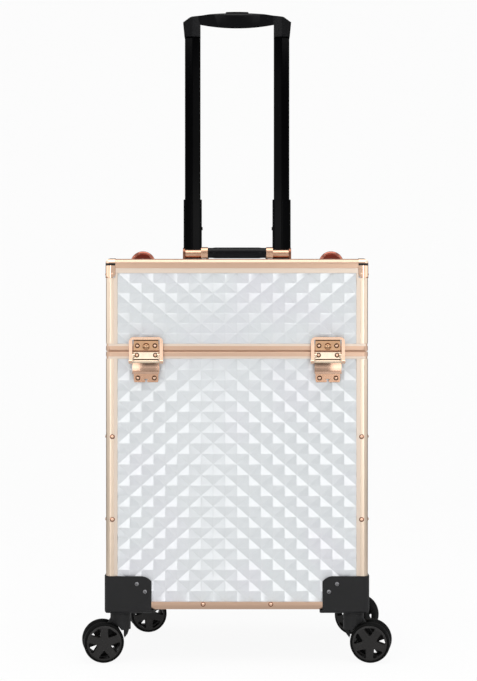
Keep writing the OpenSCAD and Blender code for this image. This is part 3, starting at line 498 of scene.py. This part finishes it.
def makeFasteners():
    f = fasteners
    base = sheet["base"]
    rivets = [s for k in f["postRivetAt"] for s in cornerSpots(f["postRivetIn"], base + k * f["bodyHigh"], 0)]
    for s in (-1, 1):
        rivets.append(((s * f["baseRivetX"], -sheet["halfD"], base + f["baseRivetUp"]), (0, -1, 0)))
        for y in (-f["sideRivetY"], f["sideRivetY"]):
            rivets.append(((s * sheet["halfW"], y, base + f["baseRivetUp"]), (s, 0, 0)))
    headPiece("frameRivetHeads", rivets, "frameRivet", "plated", "frame_rivets")
    # thin dark discs round the frame rivets: painted shade
    headPiece("frameRivetSeats", rivets, "frameSeat", "bronze", "frame_rivets", False)
    capRivets = cornerSpots(f["capRivetIn"], sheet["top"] - f["capRivetDown"], f["capWall"])
    headPiece("capRivetHeads", capRivets, "capRivet", "plated", "top_corner_caps", False)
    screws = [s for a, up in f["guardScrews"] for s in cornerSpots(a, base + up, f["guardWall"])]
    headPiece("guardScrewHeads", screws, "guardScrew", "screw", "guard_screws")
    back = [((s * x, sheet["halfD"] + f["bracketOut"], z), (0, 1, 0))
            for s in (-1, 1) for x in f["bracketX"] for z in f["bracketZ"]]
    headPiece("bracketScrewHeads", back, "bracketScrew", "steel", "bracket_screws")
    for part, spots in (("base", f["baseRivets"]), ("keeper", f["keeperRivets"])):
        placed = [((s * f["latchX"] + u * a, -sheet["halfD"] - f["plate"], sheet["split"] + up), (0, -1, 0))
                  for s in (-1, 1) for u in (-1, 1) for a, up in spots]
        headPiece(f"{part}RivetHeads", placed, "latchRivet", "plated", f"latch_{part}_rivets")
        # thin dark rings round the latch rivets: painted shade
        headPiece(f"{part}RivetSeats", placed, "latchSeat", "seat", f"latch_{part}_rivets", False)
    print("screws and rivets set")


makeFasteners()


def mergedCopy(node):  # CAD node as one editable mesh without seams between its faces
    b = bmesh.new()
    b.from_mesh(nodes[node].data)
    bmesh.ops.remove_doubles(b, verts=b.verts, dist=rounding["weld"] * mm)
    bmesh.ops.dissolve_limit(b, angle_limit=math.radians(rounding["seam"]), verts=b.verts, edges=b.edges)
    return b


def finishedMesh(name, b):  # edited mesh, shaded
    mesh = bpy.data.meshes.new(name)
    b.to_mesh(mesh)
    b.free()
    return evenShaded(mesh)


lever = {"nodes": ("latch_lever_left", "latch_lever_right"), "half": 17.4, "strips": 12,
         "plateTop": 14.9, "plateFoot": 26.2, "plateOut": (5.6, 8.2),  # mm under the split and off the front
         "flat": 6.7, "bulge": 0.3, "drop": 1.4}  # share of the CAD bulge kept, and drop of the sides
grip = {"node": "trolley_grip", "barHalf": 54, "underLow": 868, "underHigh": 876, "front": 121,
        "underSlope": 0.24}  # mm, and rise to the millimetre


def crownLever(node, b):  # finger plate curved from side to side and less from top to foot
    low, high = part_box(node)
    middle = (low.x + high.x) / 2 / mm
    for k in range(1, lever["strips"]):
        cutThrough(b, (middle + lever["half"] * (2 * k / lever["strips"] - 1), 0, 0), (1, 0, 0))
    inner, outer = lever["plateOut"]
    for v in b.verts:
        x, y, z = v.co / mm
        down = sheet["split"] - z
        out = -y - sheet["halfD"]
        if lever["plateTop"] < down < lever["plateFoot"] and inner < out < outer:
            kept = lever["flat"] + (out - lever["flat"]) * lever["bulge"]
            fall = lever["drop"] * ((x - middle) / lever["half"]) ** 2
            v.co.y = -(sheet["halfD"] + kept - fall) * mm


def slopeGrip(b):  # underside of the trolley grip's bar rising to the back for the fingers
    for v in b.verts:
        x, y, z = v.co / mm
        if abs(x) < grip["barHalf"] and grip["underLow"] < z < grip["underHigh"]:
            v.co.z += max(0, y - grip["front"]) * grip["underSlope"] * mm


edges = {  # rounding of hard edges in mm, by CAD node
    "top_corner_caps": 0.5, "trolley_grip": 1.2,
    "body_corner_posts": 0.3, "body_rim_rails": 0.25, "body_base_rails": 0.3, "top_corner_posts": 0.3,
    "top_edge_rails": 0.3, "top_rim_rails": 0.25, "corner_guards": 0.7,
    "latch_bases": 0.6, "latch_keepers": 0.7, "latch_lever_left": 0.5, "latch_lever_right": 0.5,
    "latch_bail_left": 1.0, "latch_bail_right": 1.0, "carry_handle_brackets": 0.4, "carry_handle_arms": 0.5,
    "carry_handle_grip": 0, "strap_ring_left": 0, "strap_ring_right": 0,
    "trolley_outer_tubes": 0.2, "trolley_middle_tubes": 0.2, "trolley_inner_tubes": 0.2,
    "trolley_lock_nubs": 0.3, "trolley_brackets": 0.6, "trolley_button": 0.6,
    "body_bottom_panel": 0.3, "body_lining": 0, "top_lining": 0, "caster_kingpins": 0.3,
}
casterEdges = {"fork": 0.8, "axle": 0.3}
for corner in ("fl", "fr", "rl", "rr"):
    edges.update({f"caster_{part}_{corner}": width for part, width in casterEdges.items()})
bands = {  # other tones of a node, each between two depths under the split in mm
    "top_corner_caps": ((-114.2, -111.1, "groove"),),  # black band under the heads of the caps: painted dark reflection
    "latch_lever_left": ((0, 15, "platedPale"),),  # rolled edge, paler: painted highlight
    "latch_lever_right": ((0, 15, "platedPale"),),
    "latch_bases": ((27, 45, "brushed"),  # foot under the lever's lip
                    (9.9, 11.3, "seat")),  # dark line along the rolled edge: painted shade
    "latch_keepers": ((-15.5, -13.6, "seat"),),  # dark edge under the bail's bar: painted shade
}
finishOf = {"rose_gold_aluminium": "satin", "rose_gold_plate": "plated", "black_plastic": "abs",
            "black_tube": "tube", "dark_steel": "steel", "lining_cloth": "cloth", "wheel_polymer": "hub"}
ownFinish = {"carry_handle_grip": "grip", "trolley_grip": "grip", "trolley_button": "grip",
             "carry_handle_brackets": "bronze", "carry_handle_arms": "brushed",
             "body_corner_posts": "post", "top_corner_posts": "post", "strap_ring_left": "redGold",
             "strap_ring_right": "redGold", "latch_bases": "platedPale", "latch_keepers": "platedDeep",
             "latch_lever_left": "lever", "latch_lever_right": "lever"}


def softenedMesh(node, width):  # copy of a CAD node with its hard edges rounded
    b = mergedCopy(node)
    if node in lever["nodes"]:
        crownLever(node, b)
    if node == grip["node"]:
        slopeGrip(b)
    if width:
        roundHardEdges(b, width)
    for band in bands.get(node, ()):
        for depth in band[:2]:  # clean line where the tone changes
            cutThrough(b, (0, 0, sheet["split"] - depth), (0, 0, 1))
    return finishedMesh(node, b)


def camelName(node):
    first, *rest = node.split("_")
    return first + "".join(word.capitalize() for word in rest) + "Piece"


strap = {"x": 129, "base": 522.5, "halfWide": 14.6, "high": 14.2, "rim": 2.6, "plate": 4, "tunnel": 5.5,
         "tunnelHigh": 6.6, "arcPoints": 40, "wirePoints": 20, "plateSteps": 24}  # mm and counts


def loopTree():  # half-round rim swept along an arc
    tree, given = startTree("strapLoop", {
        "Points": "Geometry", "Half Width": "Float", "Height": "Float", "Rim": "Float", "Finish": "Material"})
    arc = addNode(tree, "GeometryNodeCurveArc", {
        "Resolution": strap["arcPoints"], "Radius": 1.0, "Sweep Angle": math.pi})
    size = addNode(tree, "ShaderNodeCombineXYZ", {"X": given["Half Width"], "Y": given["Height"], "Z": 1.0})
    bent = addNode(tree, "GeometryNodeTransform", {
        "Geometry": arc.outputs["Curve"], "Scale": size.outputs["Vector"],
        "Rotation": (math.radians(90), 0, 0)})
    wire = addNode(tree, "GeometryNodeCurvePrimitiveCircle", {
        "Resolution": strap["wirePoints"], "Radius": given["Rim"]})
    swept = addNode(tree, "GeometryNodeCurveToMesh", {
        "Curve": bent.outputs["Geometry"], "Profile Curve": wire.outputs["Curve"], "Fill Caps": True})
    placed = addNode(tree, "GeometryNodeInstanceOnPoints", {
        "Points": given["Points"], "Instance": swept.outputs["Mesh"]})
    endTree(tree, placed.outputs["Instances"], given["Finish"])
    return tree


def loopPlates():  # plates inside the rims, open below for the ring's bar
    steps = strap["plateSteps"]
    arc = [math.pi * k / steps for k in range(steps + 1)]
    b = bmesh.new()
    for side in (-1, 1):
        rows = []
        for y in (-strap["plate"] / 2, strap["plate"] / 2):
            for wide, high in ((strap["halfWide"], strap["high"]), (strap["tunnel"], strap["tunnelHigh"])):
                rows.append([b.verts.new(((side * strap["x"] + wide * math.cos(a)) * mm, y * mm,
                                          (strap["base"] + high * math.sin(a)) * mm)) for a in arc])
        front, frontLow, back, backLow = rows
        for one, other in ((front, frontLow), (frontLow, backLow), (backLow, back), (back, front)):
            for k in range(steps):
                b.faces.new((one[k], one[k + 1], other[k + 1], other[k]))
        for k in (0, steps):
            b.faces.new((front[k], frontLow[k], backLow[k], back[k]))
    bmesh.ops.recalc_face_normals(b, faces=b.faces)
    return b


def makeStrapLoops():
    points = bpy.data.meshes.new("strapPoints")
    points.from_pydata([(side * strap["x"] * mm, 0, strap["base"] * mm) for side in (-1, 1)], [], [])
    rims = evaluatedMesh(loopTree(), {
        "Half Width": strap["halfWide"] * mm, "Height": strap["high"] * mm, "Rim": strap["rim"] * mm,
        "Finish": finish["redGold"]}, points)
    plates = finishedMesh("strapPlates", loopPlates())
    # inner plates in a darker copy: painted shade inside the rims
    dressIn(plates, finish["darkRed"])
    for mesh, name in ((rims, "strapRims"), (plates, "strapPlates")):
        pieceFrom(evenShaded(mesh), name, "top_case", "rose_gold_plate", "strap_saddles")
    print("strap loops made")


makeStrapLoops()

lip = {"step": 1.0, "slack": 0.3, "facing": 0.9}  # mm from bead to lip, and how squarely it faces out


def paintedSheenLips(mesh):  # outward faces one step behind the beads, in a paler copy: painted sheen
    mesh.materials.append(finish["lip"])
    middle = Vector((0, 0, (sheet["base"] + sheet["top"]) / 2))
    reach = Vector((sheet["halfW"], sheet["halfD"], (sheet["top"] - sheet["base"]) / 2))
    for face in mesh.polygons:
        out = face.center / mm - middle
        for axis in range(3):
            behind = reach[axis] - abs(out[axis])
            if abs(face.normal[axis]) > lip["facing"] and abs(behind - lip["step"]) < lip["slack"]:
                face.material_index = 1


def toneBand(mesh, low, high, tone):  # faces between two depths under the split
    mesh.materials.append(finish[tone])
    for face in mesh.polygons:
        if low < sheet["split"] - face.center.z / mm < high:
            face.material_index = len(mesh.materials) - 1


def dressNodes():
    for node, width in edges.items():
        mesh = softenedMesh(node, width)
        dressIn(mesh, finish[ownFinish.get(node) or finishOf[slotOf[node]]])
        if slotOf[node] == "rose_gold_aluminium":
            paintedSheenLips(mesh)
        for band in bands.get(node, ()):
            toneBand(mesh, *band)
        pieceFrom(mesh, camelName(node), nodes[node]["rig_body"], slotOf[node], node)
    print("frame, handles, latches and forks dressed:", len(edges), "nodes")


dressNodes()

wheel = {"diameter": 52, "tyre": 3.2, "edge": 0.4}  # mm


def makeWheels():
    for node in [n for n in nodes if n.startswith("wheel_")]:
        mesh = softenedMesh(node, wheel["edge"])
        dressIn(mesh, finish["hub"], finish["tyre"])
        low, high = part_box(node)
        centre = (low + high) / 2
        axle = next(j for j in frame["joints"] if j["child"] == nodes[node]["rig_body"])["axis"]
        reach = (wheel["diameter"] / 2 - wheel["tyre"]) * mm
        for face in mesh.polygons:  # outer ring of faces is the tyre
            out = face.center - centre
            out -= Vector(axle) * out.dot(Vector(axle))
            face.material_index = 1 if out.length > reach else 0
        pieceFrom(mesh, camelName(node), nodes[node]["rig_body"], slotOf[node], node)
    print("wheels dressed")


makeWheels()

paper = {"colour": "FFFFFF", "roughness": 0.9, "shade": 0.07,  # share of the shading that the lens sees
         "mirrored": 0.65, "mirroredFar": 0.2, "nearTo": 0.4, "farFrom": 1.2,
         "halfWide": 7.0, "front": -6.0, "back": 3.0, "high": 6.0, "bend": 1.2, "bendStep": 6,
         "under": 0.2}  # metres, but bendStep in degrees and under in mm
softBox = {"y": -1.66, "z": 0.405, "high": 0.81, "level": 6.6, "target": (0, -0.12, 0.3),
           "reach": {"leftBox": (-0.97, -0.44), "rightBox": (0.32, 0.97)}}  # metres, level in W/m2
strips = {"target": (0, 0.13, 0.7),  # x, z, width, height and level of each pair
          "pairs": {"tube": (0.865, 0.93, 0.17, 0.5, 5.0), "grip": (1.09, 1.37, 0.22, 0.24, 16.0)}}
overhead = {"place": (0, -0.5, 2.1), "target": (0, 0, 0.3), "size": 1.6, "power": 16.0}
room = {"low": 0.33, "high": 0.64, "mirroredSide": 1.45, "sideFrom": 0.6, "sideFull": 0.8,
        "mirrored": ((0.0, 0.48), (0.465, 0.52), (0.478, 0.96), (0.489, 1.4), (0.499, 1.4), (0.503, 0.68),
                     (0.535, 0.68), (0.56, 0.16), (0.64, 0.16), (0.69, 0.88), (1.0, 0.56))}  # floor to roof


def paperMaterial():  # seamless paper: white to the lens with a faint shadow, dimmer in reflections
    material, tree, place, shader = startMaterial("seamlessPaper")
    white = hexColour(paper["colour"])
    setShader(shader, Base_Color=white, Roughness=paper["roughness"])
    path = addNode(tree, "ShaderNodeLightPath")
    spot = addNode(tree, "ShaderNodeSeparateXYZ", {"Vector": place})
    aside = addNode(tree, "ShaderNodeMath", {0: spot.outputs["X"]}, operation="ABSOLUTE")
    away = addNode(tree, "ShaderNodeMath", {0: aside.outputs[0], 1: spot.outputs["Y"]}, operation="MAXIMUM")
    mirrored = addNode(tree, "ShaderNodeMapRange", {  # painted pool of lamp light in reflections: the middle brighter, the far paper dimmer
        "Value": away.outputs[0], "From Min": paper["nearTo"], "From Max": paper["farFrom"],
        "To Min": paper["mirrored"], "To Max": paper["mirroredFar"]})
    level = addNode(tree, "ShaderNodeMix", {
        0: path.outputs["Is Glossy Ray"], valueA: 1.0, valueB: mirrored.outputs["Result"]})
    glow = addNode(tree, "ShaderNodeEmission", {"Color": white, "Strength": level.outputs[0]})
    share = addNode(tree, "ShaderNodeMath", {
        0: path.outputs["Is Camera Ray"], 1: 1 - paper["shade"]}, operation="MULTIPLY")
    seen = addNode(tree, "ShaderNodeMath", {
        0: share.outputs[0], 1: path.outputs["Is Glossy Ray"]}, operation="MAXIMUM")
    blend = addNode(tree, "ShaderNodeMixShader", {
        0: seen.outputs[0], 1: shader.outputs["BSDF"], 2: glow.outputs["Emission"]})
    back = addNode(tree, "ShaderNodeNewGeometry").outputs["Backfacing"]  # clear when seen from behind
    clear = addNode(tree, "ShaderNodeBsdfTransparent")
    sided = addNode(tree, "ShaderNodeMixShader", {0: back, 1: blend.outputs[0], 2: clear.outputs["BSDF"]})
    output = next(n for n in tree.nodes if n.type == "OUTPUT_MATERIAL")
    tree.links.new(sided.outputs[0], output.inputs["Surface"])
    return material


def makeStage():  # floor that bends up into a wall behind the part
    bend = paper["bend"]
    profile = [(paper["front"], 0.0)]
    for angle in range(0, 91, paper["bendStep"]):
        turn = math.radians(angle)
        profile.append((paper["back"] - bend + bend * math.sin(turn), bend - bend * math.cos(turn)))
    profile.append((paper["back"], paper["high"]))
    b = bmesh.new()
    rows = [[b.verts.new((x, y, z - paper["under"] * mm)) for x in (-paper["halfWide"], paper["halfWide"])]
            for y, z in profile]
    for first, second in zip(rows, rows[1:]):
        b.faces.new((first[0], first[1], second[1], second[0]))
    mesh = bpy.data.meshes.new("seamlessPaper")
    b.to_mesh(mesh)
    b.free()
    mesh.shade_smooth()
    mesh.materials.append(paperMaterial())
    floor = bpy.data.objects.new("seamlessPaper", mesh)
    bpy.context.scene.collection.objects.link(floor)


def makeLamp(name, place, target, wide, high, power):
    data = bpy.data.lights.new(name, "AREA")
    data.shape = "RECTANGLE"
    data.size = wide
    data.size_y = high
    data.energy = power
    lamp = bpy.data.objects.new(name, data)
    lamp.location = place
    lamp.rotation_euler = (Vector(target) - Vector(place)).to_track_quat("-Z", "Y").to_euler()
    bpy.context.scene.collection.objects.link(lamp)


def makeLamps():  # lamps in front light the facets, strips the tubes and the grip
    for name, (start, end) in softBox["reach"].items():
        wide = end - start
        makeLamp(name, ((start + end) / 2, softBox["y"], softBox["z"]), softBox["target"],
                 wide, softBox["high"], softBox["level"] * wide * softBox["high"])
    for part, (x, z, wide, high, level) in strips["pairs"].items():
        for side, name in ((-1, "LeftStrip"), (1, "RightStrip")):
            makeLamp(part + name, (side * x, softBox["y"], z), strips["target"],
                     wide, high, level * wide * high)
    makeLamp("overheadBox", overhead["place"], overhead["target"], overhead["size"], overhead["size"],
             overhead["power"])


def makeRoom():  # white to the lens, grey as light, and banded where polished metal mirrors it
    world = bpy.data.worlds.new("studioRoom")
    world.use_nodes = True
    tree = world.node_tree
    tree.nodes.clear()
    towards = addNode(tree, "ShaderNodeSeparateXYZ", {
        "Vector": addNode(tree, "ShaderNodeTexCoord").outputs["Generated"]})
    level = addNode(tree, "ShaderNodeMapRange", {
        "Value": towards.outputs["Z"], "From Min": 0.0, "From Max": 1.0,
        "To Min": room["low"], "To Max": room["high"]})
    height = addNode(tree, "ShaderNodeMapRange", {"Value": towards.outputs["Z"], "From Min": -1.0})
    walls = addNode(tree, "ShaderNodeValToRGB", {"Fac": height.outputs["Result"]})
    stops = walls.color_ramp.elements
    while len(stops) < len(room["mirrored"]):
        stops.new(1.0)
    for stop, (place, shade) in zip(stops, room["mirrored"]):
        stop.position = place
        stop.color = (shade, shade, shade, 1)
    sideways = addNode(tree, "ShaderNodeMath", {0: towards.outputs["X"]}, operation="ABSOLUTE")
    beside = addNode(tree, "ShaderNodeMapRange", {
        "Value": sideways.outputs[0], "From Min": room["sideFrom"], "From Max": room["sideFull"]})
    mirrored = addNode(tree, "ShaderNodeMix", {
        0: beside.outputs["Result"], valueA: walls.outputs["Color"], valueB: room["mirroredSide"]})
    path = addNode(tree, "ShaderNodeLightPath")
    seen = addNode(tree, "ShaderNodeMix", {
        0: path.outputs["Is Glossy Ray"], valueA: level.outputs["Result"], valueB: mirrored.outputs[0]})
    shown = addNode(tree, "ShaderNodeMix", {
        0: path.outputs["Is Camera Ray"], valueA: seen.outputs[0], valueB: 1.0})
    sky = addNode(tree, "ShaderNodeBackground", {
        "Color": hexColour(paper["colour"]), "Strength": shown.outputs[0]})
    addNode(tree, "ShaderNodeOutputWorld", {"Surface": sky.outputs["Background"]})
    bpy.context.scene.world = world


view = {"place": (0.002, -2.14, 0.417), "lens": 82.5, "sensor": 36}  # metres, and mm for the last two


def makeCamera():  # level, looking at the front
    data = bpy.data.cameras.new("studioCamera")
    data.lens = view["lens"]
    data.sensor_width = view["sensor"]
    camera = bpy.data.objects.new("studioCamera", data)
    camera.location = view["place"]
    camera.rotation_euler = (math.radians(90), 0, 0)
    bpy.context.scene.collection.objects.link(camera)
    bpy.context.scene.camera = camera


makeStage()
makeLamps()
makeRoom()
makeCamera()
bpy.context.scene.view_settings.view_transform = "Standard"
print("stage, light and camera set")
